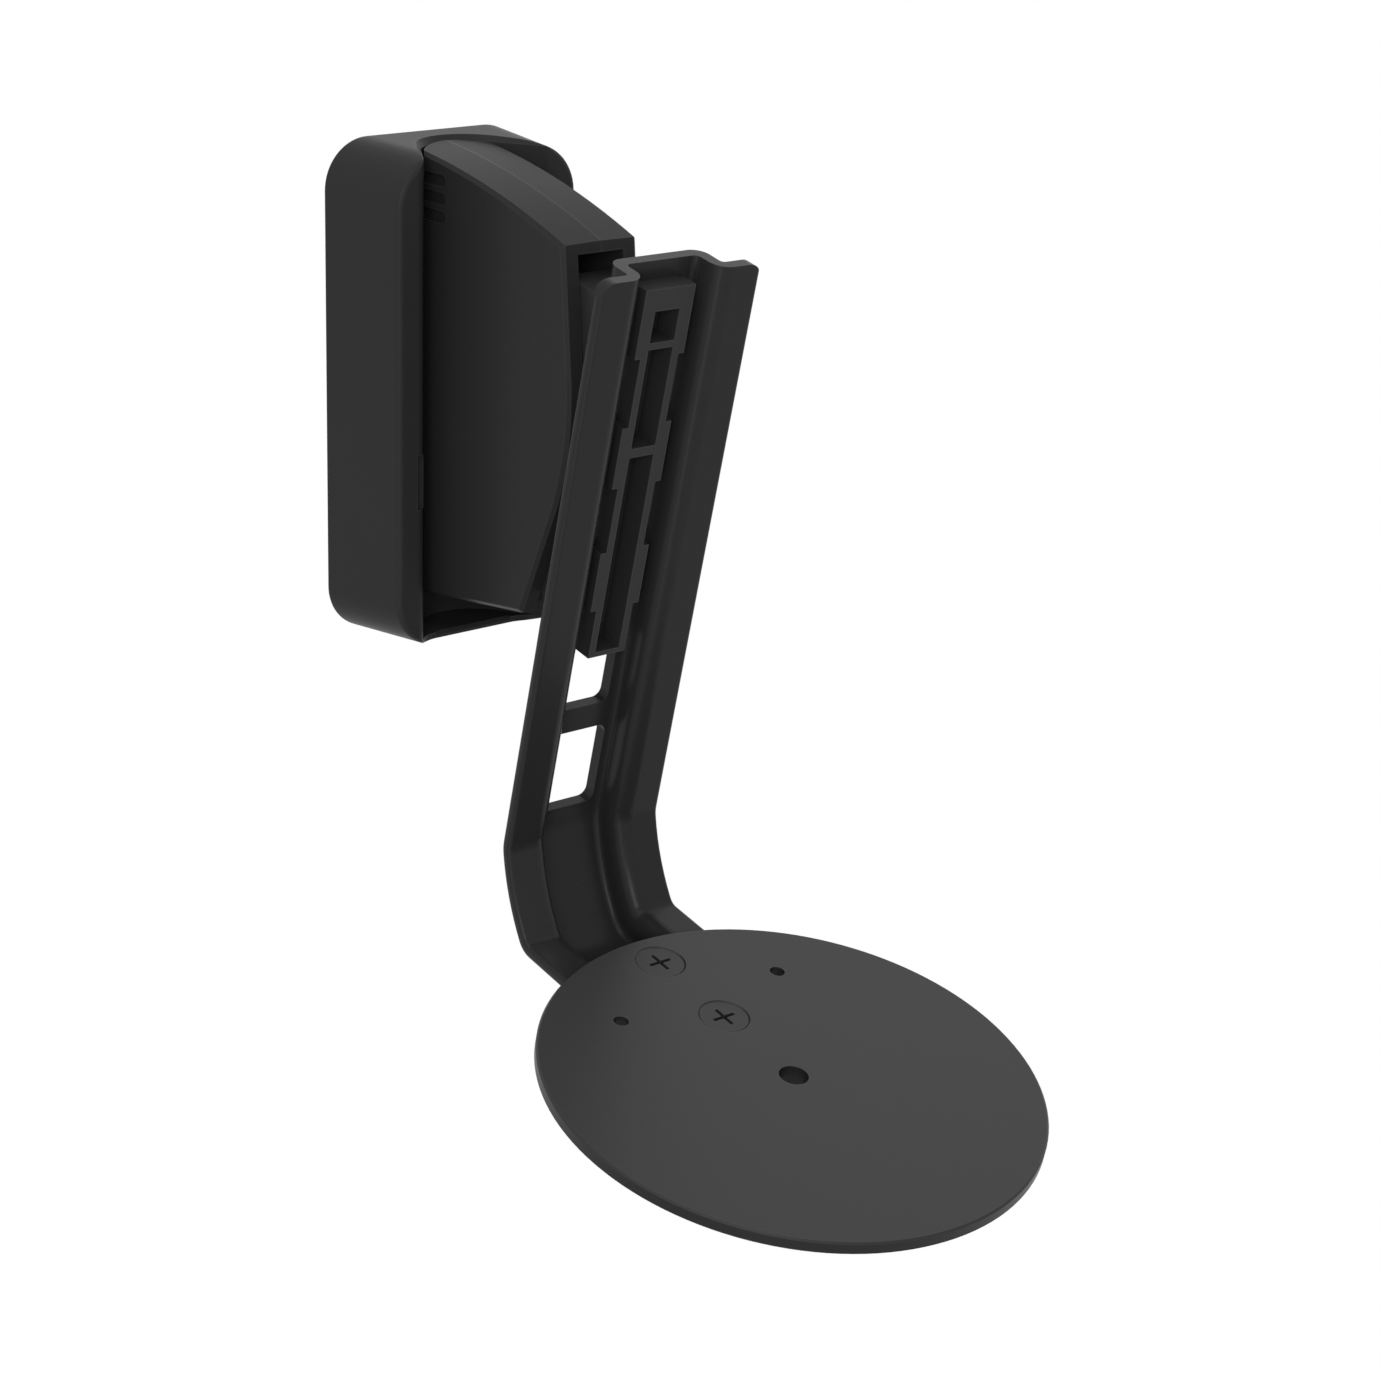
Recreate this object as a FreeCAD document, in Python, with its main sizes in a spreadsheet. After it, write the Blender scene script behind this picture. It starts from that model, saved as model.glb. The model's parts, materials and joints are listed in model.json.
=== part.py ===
import FreeCAD, Part
import Sketcher
import math
import os
import re

# Wall bracket for a small speaker, in millimetres.
# The origin lies on the wall, at the middle of the wall plate.
# X runs to the right along the wall, Y into the wall, Z up.
# The swivel axis is vertical and the tilt axis is horizontal.
# The tilted pieces are drawn level and then turned about the tilt axis by tilt_rest.

SIZES = {
    "swivel_depth": 19.3,
    "tilt_depth": 38.0,
    "tilt_rest": 12.7,
    "swivel_swing": 35.0,
    "running_gap": 0.3,
    "fit_gap": 0.05,
    "loose_gap": 0.2,
    "cut_margin": 1.0,
    "merge": 0.5,
    "cover_wall_width": 54.0,
    "cover_wall_height": 113.0,
    "cover_wall_corner": 11.2,
    "cover_front_width": 48.0,
    "cover_front_height": 111.0,
    "cover_front_corner": 11.4,
    "cover_depth": 24.0,
    "cover_side": 2.4,
    "cover_face": 2.2,
    "cover_edge": 1.4,
    "opening_width": 37.9,
    "opening_round": 2.9,
    "opening_flare": 32.0,
    "opening_setback": 4.7,
    "floor_wall": 1.4,
    "opening_bevel": 0.8,
    "notch_bevel": 0.9,
    "trough_wall": 1.8,
    "trough_end": 2.3,
    "slit_height": 12.3,
    "slit_level": 16.8,
    "slit_edge": 18.9,
    "slit_depth": 1.2,
    "plate_thickness": 3.0,
    "plate_corner": 8.4,
    "wall_hole_diameter": 5.5,
    "wall_hole_width": 34.0,
    "wall_hole_height": 76.0,
    "lug_level": 26.0,
    "lug_thickness": 4.0,
    "lug_radius": 7.0,
    "lug_neck": 8.0,
    "bush_diameter": 9.0,
    "bush_flange_diameter": 13.0,
    "bush_flange": 1.0,
    "bolt_diameter": 6.0,
    "bolt_head_width": 10.0,
    "bolt_head_height": 4.0,
    "nut_height": 5.0,
    "washer_diameter": 12.0,
    "washer_thickness": 1.2,
    "spring_thickness": 0.9,
    "spring_step": 0.4,
    "head_floor": 36.8,
    "nut_ceiling": 35.0,
    "pocket_diameter": 13.4,
    "pocket_end_gap": 0.8,
    "body_width": 20.0,
    "body_draft": 2.0,
    "body_bevel": 0.8,
    "body_back_radius": 11.5,
    "body_top_back": 55.4,
    "body_top_front": 42.3,
    "body_front_top": 63.8,
    "body_top_curve": 220.0,
    "body_belly_upper": 14.0,
    "body_belly_upper_depth": 66.5,
    "body_belly_curve": 64.0,
    "body_belly_lower": 19.6,
    "body_belly_lower_depth": 60.4,
    "body_bottom_front": 42.1,
    "body_front_bottom": 50.4,
    "body_bottom_back": 47.4,
    "channel_width": 12.2,
    "channel_top": 39.85,
    "channel_shoulder": 45.0,
    "channel_floor_edge": 42.0,
    "channel_floor": 38.5,
    "hub_clearance": 0.6,
    "hub_wrap": 50.0,
    "socket_depth": 2.3,
    "scallop_depth": 1.0,
    "scallop_height": 2.6,
    "scallop_pitch": 4.0,
    "scallop_level": 49.1,
    "scallop_front": 21.6,
    "housing_screw_diameter": 3.0,
    "housing_screw_head": 5.6,
    "housing_screw_sink": 2.6,
    "housing_screw_reach": 6.5,
    "housing_screw_recess": 0.4,
    "front_screw_depth": 52.0,
    "front_screw_level": 42.9,
    "middle_screw_depth": 33.0,
    "middle_screw_level": 37.5,
    "rear_screw_depth": 20.0,
    "rear_screw_level": 48.6,
    "hub_screw_depth": 27.0,
    "hub_screw_level": 16.0,
    "foot_screw_depth": 33.0,
    "foot_screw_level": 37.6,
    "pin_diameter": 8.0,
    "hub_radius": 10.5,
    "hub_width": 8.2,
    "disc_outer": 19.0,
    "disc_thickness": 1.1,
    "spring_outer": 17.0,
    "washer_spring": 0.6,
    "arm_back_reach": 33.0,
    "arm_wall": 2.8,
    "arm_step": 7.65,
    "arm_width": 42.3,
    "arm_top": 50.8,
    "arm_inner_width": 19.2,
    "crest_radius": 4.0,
    "root_radius": 1.5,
    "back_radius": 3.4,
    "heel_radius": 1.0,
    "flange_edge": 1.1,
    "arm_corner": 3.4,
    "bend_first_radius": 6.0,
    "bend_long_radius": 50.0,
    "bend_last_radius": 3.0,
    "bend_first_angle": 20.0,
    "bend_second_angle": 42.0,
    "foot_end": 107.0,
    "foot_taper_start": 80.0,
    "foot_taper_run": 4.0,
    "foot_tip_width": 34.0,
    "boss_diameter": 13.0,
    "insert_diameter": 8.4,
    "insert_length": 6.2,
    "slot_width": 10.7,
    "slot_bay_width": 14.4,
    "slot_foot_width": 13.4,
    "slot_bottom": 56.0,
    "window_top": 62.1,
    "window_bottom": 82.2,
    "window_width": 15.2,
    "window_corner": 2.2,
    "block_width": 11.6,
    "block_back": 13.8,
    "block_top": 38.9,
    "block_heel": 22.0,
    "block_foot": 5.0,
    "gusset_top": 24.0,
    "gusset_bottom": 18.0,
    "neck_width": 10.1,
    "ladder_top": 46.5,
    "ladder_bottom": 40.4,
    "ladder_face": 40.3,
    "tab_width": 13.2,
    "tab_first": 30.9,
    "tab_second_top": 15.2,
    "tab_second_bottom": 1.0,
    "tab_third_top": 14.4,
    "tab_third_bottom": 28.6,
    "ladder_window_width": 6.5,
    "ladder_window_depth": 6.4,
    "ladder_window_first_top": 41.4,
    "ladder_window_first_bottom": 34.3,
    "ladder_window_second_top": 32.7,
    "ladder_window_second_bottom": 10.0,
    "ladder_window_third_top": 7.8,
    "ladder_window_third_bottom": 39.2,
    "disc_reach": 121.7,
    "disc_drop": 99.5,
    "disc_diameter": 110.0,
    "disc_plate": 3.0,
    "disc_edge": 0.4,
    "centre_hole": 6.5,
    "centre_boss": 16.0,
    "centre_boss_height": 3.0,
    "screw_far": 46.2,
    "screw_near": 23.6,
    "screw_diameter": 6.0,
    "screw_head": 10.8,
    "screw_sink": 0.25,
    "screw_length": 10.0,
    "countersink": 11.6,
    "recess_span": 5.8,
    "recess_width": 0.9,
    "recess_depth": 2.0,
    "small_hole": 3.4,
    "small_hole_back": 31.8,
    "small_hole_side": 22.1,
}

# Places that several pieces share, written in terms of the sizes.
ARM_FRONT = "(tilt_depth + arm_back_reach + arm_wall + arm_step)"
FOOT_TOP = "(disc_drop + disc_plate)"
COVER_SLOPE = "(cover_wall_height - cover_front_height) * swivel_depth / cover_depth"
COVER_END = f"((cover_wall_height - {COVER_SLOPE}) / 2)"
DISC_CENTRE = "(tilt_depth + disc_reach)"
SCREW_PLACES = [("0", f"-({DISC_CENTRE} - screw_far)"), ("0", f"-({DISC_CENTRE} - screw_near)")]
HOUSING_SCREW_PLACES = [
    ("-front_screw_depth", "front_screw_level"),
    ("-middle_screw_depth", "middle_screw_level"),
    ("-rear_screw_depth", "rear_screw_level"),
    ("-hub_screw_depth", "-hub_screw_level"),
    ("-foot_screw_depth", "-foot_screw_level"),
]

doc = FreeCAD.newDocument("speaker_wall_bracket")
sheet = doc.addObject("Spreadsheet::Sheet", "Sizes")
for row, (alias, number) in enumerate(SIZES.items(), start=1):
    sheet.set(f"A{row}", alias.replace("_", " "))
    sheet.set(f"B{row}", str(number))
    sheet.setAlias(f"B{row}", alias)
doc.recompute()


def bound(text):
    """An expression in which each size is read from the sheet."""
    return re.sub(r"[a-z][a-z_]*", lambda word: f"Sizes.{word[0]}" if word[0] in SIZES else word[0], text)


def measure(text):
    """The present value of an expression of sizes."""
    return float(sheet.evalExpression(bound(text)))


def new_body(name):
    body = doc.addObject("PartDesign::Body", name)
    body.Label = name
    return body


def new_sketch(body, role, offset="0"):
    """A sketch on one of the body's own planes, moved along that plane's normal."""
    sketch = body.newObject("Sketcher::SketchObject", f"{body.Name}_sketch")
    plane = next(item for item in body.Origin.OriginFeatures if item.Role == role)
    sketch.AttachmentSupport = (plane, [""])
    sketch.MapMode = "FlatFace"
    sketch.AttachmentOffset = FreeCAD.Placement(FreeCAD.Vector(0, 0, measure(offset)), FreeCAD.Rotation())
    if offset != "0":
        sketch.setExpression(".AttachmentOffset.Base.z", bound(offset))
    return sketch


def hold(sketch, kind, members, text):
    """A dimension of the sketch that follows an expression of sizes."""
    index = sketch.addConstraint(Sketcher.Constraint(kind, *members, measure(text)))
    name = f"size_{index}"
    sketch.renameConstraint(index, name)
    sketch.setExpression(f"Constraints.{name}", bound(text))


def place_point(sketch, geometry, point, across, up):
    """Ties one point of the sketch to its two distances from the sketch's origin."""
    hold(sketch, "DistanceX", (-1, 1, geometry, point), across)
    hold(sketch, "DistanceY", (-1, 1, geometry, point), up)


def trace(sketch, corners, closed=True):
    """Draws an outline of lines and arcs.

    Each corner is (across, up), or (across, up, radius, turn) where an arc starts
    that turns left (+1) or right (-1) on its way to the next corner.
    """
    spots = [FreeCAD.Vector(measure(corner[0]), measure(corner[1]), 0) for corner in corners]
    last = len(corners) if closed else len(corners) - 1
    ends = []
    for number in range(last):
        start = spots[number]
        finish = spots[(number + 1) % len(corners)]
        corner = corners[number]
        if len(corner) == 2:
            index = sketch.addGeometry(Part.LineSegment(start, finish))
            ends.append((index, 1, 2))
            continue
        radius = measure(corner[2])
        chord = finish - start
        outward = FreeCAD.Vector(chord.y, -chord.x, 0) * (corner[3] / chord.Length)
        rise = radius - math.sqrt(max(radius ** 2 - (chord.Length / 2) ** 2, 0))
        crown = start + chord * 0.5 + outward * rise
        index = sketch.addGeometry(Part.Arc(start, crown, finish))
        ends.append((index, 1, 2) if corner[3] > 0 else (index, 2, 1))
    for number, (index, first, _) in enumerate(ends):
        place_point(sketch, index, first, corners[number][0], corners[number][1])
        if number or closed:
            before = ends[number - 1]
            sketch.addConstraint(Sketcher.Constraint("Coincident", before[0], before[2], index, first))
    if not closed:
        place_point(sketch, ends[-1][0], ends[-1][2], corners[-1][0], corners[-1][1])
    for number, (index, _, _) in enumerate(ends):
        if len(corners[number]) > 2:
            hold(sketch, "Radius", (index,), corners[number][2])


def rings(sketch, circles):
    """Draws circles, each (across, up, radius)."""
    for across, up, radius in circles:
        centre = FreeCAD.Vector(measure(across), measure(up), 0)
        index = sketch.addGeometry(Part.Circle(centre, FreeCAD.Vector(0, 0, 1), measure(radius)))
        place_point(sketch, index, 3, across, up)
        hold(sketch, "Radius", (index,), radius)


def box_corners(left, right, low, high):
    return [(left, low), (right, low), (right, high), (left, high)]


def rounded_corners(half_width, half_height, radius):
    """A rounded rectangle about the sketch's origin."""
    w, h, r = f"({half_width})", f"({half_height})", f"({radius})"
    return [
        (f"{w} - {r}", f"-{h}", r, 1),
        (w, f"-{h} + {r}"),
        (w, f"{h} - {r}", r, 1),
        (f"{w} - {r}", h),
        (f"-{w} + {r}", h, r, 1),
        (f"-{w}", f"{h} - {r}"),
        (f"-{w}", f"-{h} + {r}", r, 1),
        (f"-{w} + {r}", f"-{h}"),
    ]


def extrude(body, kind, sketch, length, symmetric=False, backward=False, taper=None):
    """A pad or a pocket of the sketch. A pocket's change of volume is checked."""
    before = body.Shape.Volume if body.Tip and not body.Shape.isNull() else 0.0
    feature = body.newObject(f"PartDesign::{kind}", f"{body.Name}_{kind.lower()}")
    feature.Profile = sketch
    feature.Length = measure(length)
    feature.setExpression("Length", bound(length))
    feature.SideType = "Symmetric" if symmetric else "One side"
    feature.Reversed = backward
    if taper:
        feature.TaperAngle = measure(taper)
        feature.setExpression("TaperAngle", bound(taper))
    sketch.Visibility = False
    doc.recompute()
    if kind == "Pocket" and before - body.Shape.Volume < 0.01:
        raise ValueError(f"a cut of {body.Label} removes nothing")
    return feature


def pad(body, sketch, length, **options):
    return extrude(body, "Pad", sketch, length, **options)


def pocket(body, sketch, length, **options):
    return extrude(body, "Pocket", sketch, length, **options)


def loft(body, kind, first, second):
    feature = body.newObject(f"PartDesign::{kind}", f"{body.Name}_loft")
    feature.Profile = first
    feature.Sections = [second]
    feature.Ruled = True
    doc.recompute()
    return feature


def edges_where(shape, test):
    """Names of the edges whose middle point and box pass a test."""
    return [f"Edge{number}" for number, edge in enumerate(shape.Edges, start=1) if test(edge)]


def lies_at(letter, level):
    """A test for the edges that lie wholly at one level along an axis."""
    def test(edge):
        box = edge.BoundBox
        ends = (getattr(box, f"{letter}Min"), getattr(box, f"{letter}Max"))
        return all(abs(end - level) < 0.01 for end in ends)
    return test


def bevel(body, kind, feature, size, test):
    """A fillet or a chamfer on the edges that pass the test."""
    names = edges_where(feature.Shape, test)
    result = body.newObject(f"PartDesign::{kind}", f"{body.Name}_{kind.lower()}")
    result.Base = (feature, names)
    property_name = "Radius" if kind == "Fillet" else "Size"
    setattr(result, property_name, measure(size))
    result.setExpression(property_name, bound(size))
    doc.recompute()
    return result


def tilt(body):
    """Turns a level piece about the tilt axis to the angle at which the bracket rests."""
    turn = FreeCAD.Rotation(FreeCAD.Vector(1, 0, 0), measure("tilt_rest"))
    body.Placement = FreeCAD.Placement(FreeCAD.Vector(), turn)
    body.setExpression(".Placement.Base.y", bound("-tilt_depth * (1 - cos(tilt_rest))"))
    body.setExpression(".Placement.Base.z", bound("tilt_depth * sin(tilt_rest)"))
    body.setExpression(".Placement.Rotation.Angle", bound("tilt_rest"))
    return body


def wall_plate():
    """The base against the wall with two lugs that hold the swivel bolt."""
    body = new_body("wall_plate")
    taper = "plate_thickness / cover_depth"
    inset = "- 2 * cover_side - 2 * running_gap"
    width = f"cover_wall_width - (cover_wall_width - cover_front_width) * {taper} {inset}"
    height = f"cover_wall_height - (cover_wall_height - cover_front_height) * {taper} {inset}"
    base = new_sketch(body, "XZ_Plane")
    trace(base, rounded_corners(f"({width}) / 2", f"({height}) / 2", "plate_corner"))
    pad(body, base, "plate_thickness")
    for level in ("lug_level", "-(lug_level + lug_thickness)"):
        lug = new_sketch(body, "XY_Plane", level)
        trace(lug, box_corners("-lug_neck / 2", "lug_neck / 2", "-swivel_depth", "-plate_thickness / 2"))
        pad(body, lug, "lug_thickness")
        eye = new_sketch(body, "XY_Plane", level)
        rings(eye, [("0", "-swivel_depth", "lug_radius")])
        pad(body, eye, "lug_thickness")
        bore = new_sketch(body, "XY_Plane", level)
        rings(bore, [("0", "-swivel_depth", "bush_diameter / 2 + fit_gap")])
        pocket(body, bore, "lug_thickness", backward=True)
    holes = new_sketch(body, "XZ_Plane")
    across = ("-wall_hole_width / 2", "wall_hole_width / 2")
    up = ("-wall_hole_height / 2", "wall_hole_height / 2")
    rings(holes, [(x, z, "wall_hole_diameter / 2") for x in across for z in up])
    pocket(body, holes, "plate_thickness", backward=True)
    return body


def round_back(radius):
    """The round end of an outline about the swivel axis, between its two leaning sides."""
    side = f"{radius} * cos(opening_flare)"
    back = f"-swivel_depth + {radius} * sin(opening_flare)"
    return [
        (side, back, radius, 1),
        ("0", f"-swivel_depth + {radius}", radius, 1),
        (f"-({side})", back),
    ]


def wall_cover():
    """The moulded shell over the wall plate, with its sides leaning in to the front."""
    body = new_body("wall_cover")
    at_wall = new_sketch(body, "XZ_Plane")
    trace(at_wall, rounded_corners("cover_wall_width / 2", "cover_wall_height / 2", "cover_wall_corner"))
    at_front = new_sketch(body, "XZ_Plane", "cover_depth")
    trace(at_front, rounded_corners("cover_front_width / 2", "cover_front_height / 2", "cover_front_corner"))
    shell = loft(body, "AdditiveLoft", at_wall, at_front)
    bevel(body, "Fillet", shell, "cover_edge", lies_at("Y", -measure("cover_depth")))
    inner_wall = new_sketch(body, "XZ_Plane")
    trace(inner_wall, rounded_corners(
        "cover_wall_width / 2 - cover_side",
        "cover_wall_height / 2 - cover_side",
        "cover_wall_corner - cover_side",
    ))
    share = "(1 - cover_face / cover_depth)"
    inner_front = new_sketch(body, "XZ_Plane", "cover_depth - cover_face")
    trace(inner_front, rounded_corners(
        f"(cover_wall_width - (cover_wall_width - cover_front_width) * {share}) / 2 - cover_side",
        f"(cover_wall_height - (cover_wall_height - cover_front_height) * {share}) / 2 - cover_side",
        "cover_front_corner - cover_side",
    ))
    loft(body, "SubtractiveLoft", inner_wall, inner_front)
    # a trough for the swivel body: its sides lean in and its back is round about the swivel axis
    inside_floor = f"({COVER_END} - floor_wall)"
    half = "opening_width / 2"
    lean = "(1 - sin(opening_flare))"
    cheek = [f"({half} - opening_round * cos(opening_flare))", f"(-cover_depth + opening_round * {lean})"]
    radius = f"({cheek[0]} * cos(opening_flare) + ({cheek[1]} + swivel_depth) * sin(opening_flare))"
    outer = f"({radius} + trough_wall)"
    inside_face = "(cover_depth - cover_face / 2)"
    mouth = f"(({outer} + ({inside_face} - swivel_depth) * sin(opening_flare)) / cos(opening_flare))"
    wall = new_sketch(body, "XY_Plane")
    trace(wall, [(f"-{mouth}", f"-{inside_face}"), (mouth, f"-{inside_face}")] + round_back(outer))
    pad(body, wall, f"2 * ({COVER_END} - trough_end)", symmetric=True)
    column = new_sketch(body, "XY_Plane")
    rings(column, [("0", "-swivel_depth", outer)])
    pad(body, column, f"2 * {inside_floor}", symmetric=True)
    trough = new_sketch(body, "XY_Plane", f"-{inside_floor}")
    trace(trough, [
        (f"-({half})", "-cover_depth - swivel_depth"),
        (half, "-cover_depth - swivel_depth"),
        (half, "-cover_depth", "opening_round", -1),
        (cheek[0], cheek[1]),
        *round_back(radius),
        (f"-{cheek[0]}", cheek[1], "opening_round", -1),
        (f"-({half})", "-cover_depth"),
    ])
    pocket(body, trough, "2 * cover_wall_height", backward=True)
    # the bevelled edge of the trough in the top wall
    rim = new_sketch(body, "XY_Plane", f"{COVER_END} + cut_margin")
    wide = f"({radius} + notch_bevel + cut_margin)"
    flare_out = f"({wide} * cos(opening_flare) + cover_depth * sin(opening_flare))"
    flare_end = f"(-swivel_depth + {wide} * sin(opening_flare) - cover_depth * cos(opening_flare))"
    trace(rim, [(f"-{flare_out}", flare_end), (flare_out, flare_end)] + round_back(wide))
    pocket(body, rim, "notch_bevel + cut_margin", taper="-45")
    # the bottom wall stops short of the front, with a soft curve at each end and a small bevel
    sweep = f"(opening_setback / {lean} - opening_round)"
    neck = f"({half} - opening_setback / {lean} * cos(opening_flare))"
    floor = "(-cover_depth + opening_setback)"
    opening = new_sketch(body, "XY_Plane", "-cover_wall_height")
    trace(opening, [
        (f"-({half})", "-cover_depth - cut_margin"),
        (half, "-cover_depth - cut_margin"),
        (half, "-cover_depth", "opening_round", -1),
        (cheek[0], cheek[1], sweep, 1),
        (neck, floor),
        (f"-{neck}", floor, sweep, 1),
        (f"-{cheek[0]}", cheek[1], "opening_round", -1),
        (f"-({half})", "-cover_depth"),
    ])
    pocket(body, opening, f"cover_wall_height - {inside_floor} + merge", backward=True)
    edge = new_sketch(body, "YZ_Plane")
    trace(edge, [
        (floor, f"-{inside_floor} - opening_bevel"),
        (f"{floor} + opening_bevel + merge", f"-{inside_floor} + merge"),
        (floor, f"-{inside_floor} + merge"),
    ])
    pocket(body, edge, f"2 * {neck}", symmetric=True)
    # windows in the trough for the lugs
    rise = "(lug_thickness + bush_flange + 4 * running_gap)"
    reach = "lug_radius + 2 * running_gap"
    for low in ("(lug_level - 2 * running_gap)", f"(-lug_level + 2 * running_gap - {rise})"):
        window = new_sketch(body, "XZ_Plane", "swivel_depth")
        trace(window, box_corners(f"-({reach})", reach, low, f"{low} + {rise}"))
        pocket(body, window, "swivel_depth")
    # a shallow slit beside the opening, on the left, for lifting the cover off
    slit = new_sketch(body, "XZ_Plane", "cover_depth")
    trace(slit, box_corners(
        "-slit_edge",
        f"-({cheek[0]})",
        "-slit_level - slit_height / 2",
        "-slit_level + slit_height / 2",
    ))
    pocket(body, slit, "slit_depth")
    return body


def turned(name, place, outline):
    """Rings about a vertical axis: each outline is (inner radius, outer radius, low, high)."""
    body = new_body(name)
    for inner, outer, low, high in outline:
        sketch = new_sketch(body, "XY_Plane", low)
        circles = [(place[0], place[1], outer)]
        if inner != "0":
            circles.append((place[0], place[1], inner))
        rings(sketch, circles)
        pad(body, sketch, f"({high}) - ({low})")
    return body


def swivel_bushes():
    """Flanged bushes in the lugs, the upper one with its flange on top, the lower one below."""
    place = ("0", "-swivel_depth")
    bore = "bolt_diameter / 2 + fit_gap"
    top = "lug_level + lug_thickness"
    turned("swivel_bush_upper", place, [
        (bore, "bush_diameter / 2", "lug_level", top),
        (bore, "bush_flange_diameter / 2", top, f"{top} + bush_flange"),
    ])
    turned("swivel_bush_lower", place, [
        (bore, "bush_diameter / 2", f"-({top})", "-lug_level"),
        (bore, "bush_flange_diameter / 2", f"-({top} + bush_flange)", f"-({top})"),
    ])


def hexagon(sketch, across, up, width):
    """A hexagon with two flats square to X."""
    half = f"({width}) / 2"
    reach = f"({width}) / sqrt(3)"
    trace(sketch, [
        (f"{across} + {half}", f"{up} - {reach} / 2"),
        (f"{across} + {half}", f"{up} + {reach} / 2"),
        (f"{across}", f"{up} + {reach}"),
        (f"{across} - {half}", f"{up} + {reach} / 2"),
        (f"{across} - {half}", f"{up} - {reach} / 2"),
        (f"{across}", f"{up} - {reach}"),
    ])


def swivel_bolt():
    """The swivel's axle: a hexagon bolt that hangs in the housing."""
    body = new_body("swivel_bolt")
    head = new_sketch(body, "XY_Plane", "head_floor + washer_thickness")
    hexagon(head, "0", "-swivel_depth", "bolt_head_width")
    pad(body, head, "bolt_head_height")
    shank = new_sketch(body, "XY_Plane", "head_floor + washer_thickness")
    rings(shank, [("0", "-swivel_depth", "bolt_diameter / 2")])
    below = "nut_ceiling + 2 * spring_thickness + washer_thickness + nut_height + pocket_end_gap / 2"
    pad(body, shank, f"head_floor + washer_thickness + {below}", backward=True)


def swivel_nut():
    body = new_body("swivel_nut")
    top = "-(nut_ceiling + 2 * spring_thickness + washer_thickness)"
    nut = new_sketch(body, "XY_Plane", top)
    hexagon(nut, "0", "-swivel_depth", "bolt_head_width")
    pad(body, nut, "nut_height", backward=True)
    bore = new_sketch(body, "XY_Plane", top)
    rings(bore, [("0", "-swivel_depth", "bolt_diameter / 2 + fit_gap / 2")])
    pocket(body, bore, "nut_height")


def swivel_rings():
    """Plain washers under the head and on the nut, and two spring rings that set the friction."""
    place = ("0", "-swivel_depth")
    bore = "bolt_diameter / 2 + loose_gap"
    low = "nut_ceiling + 2 * spring_thickness"
    turned("swivel_washers", place, [
        (bore, "washer_diameter / 2", "head_floor", "head_floor + washer_thickness"),
        (bore, "washer_diameter / 2", f"-({low} + washer_thickness)", f"-({low})"),
    ])
    turned("swivel_springs", place, [
        (bore, "washer_diameter / 2", "-(nut_ceiling + spring_thickness)", "-nut_ceiling"),
        (bore, "washer_diameter / 2 - spring_step", f"-({low})", "-(nut_ceiling + spring_thickness)"),
    ])


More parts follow.
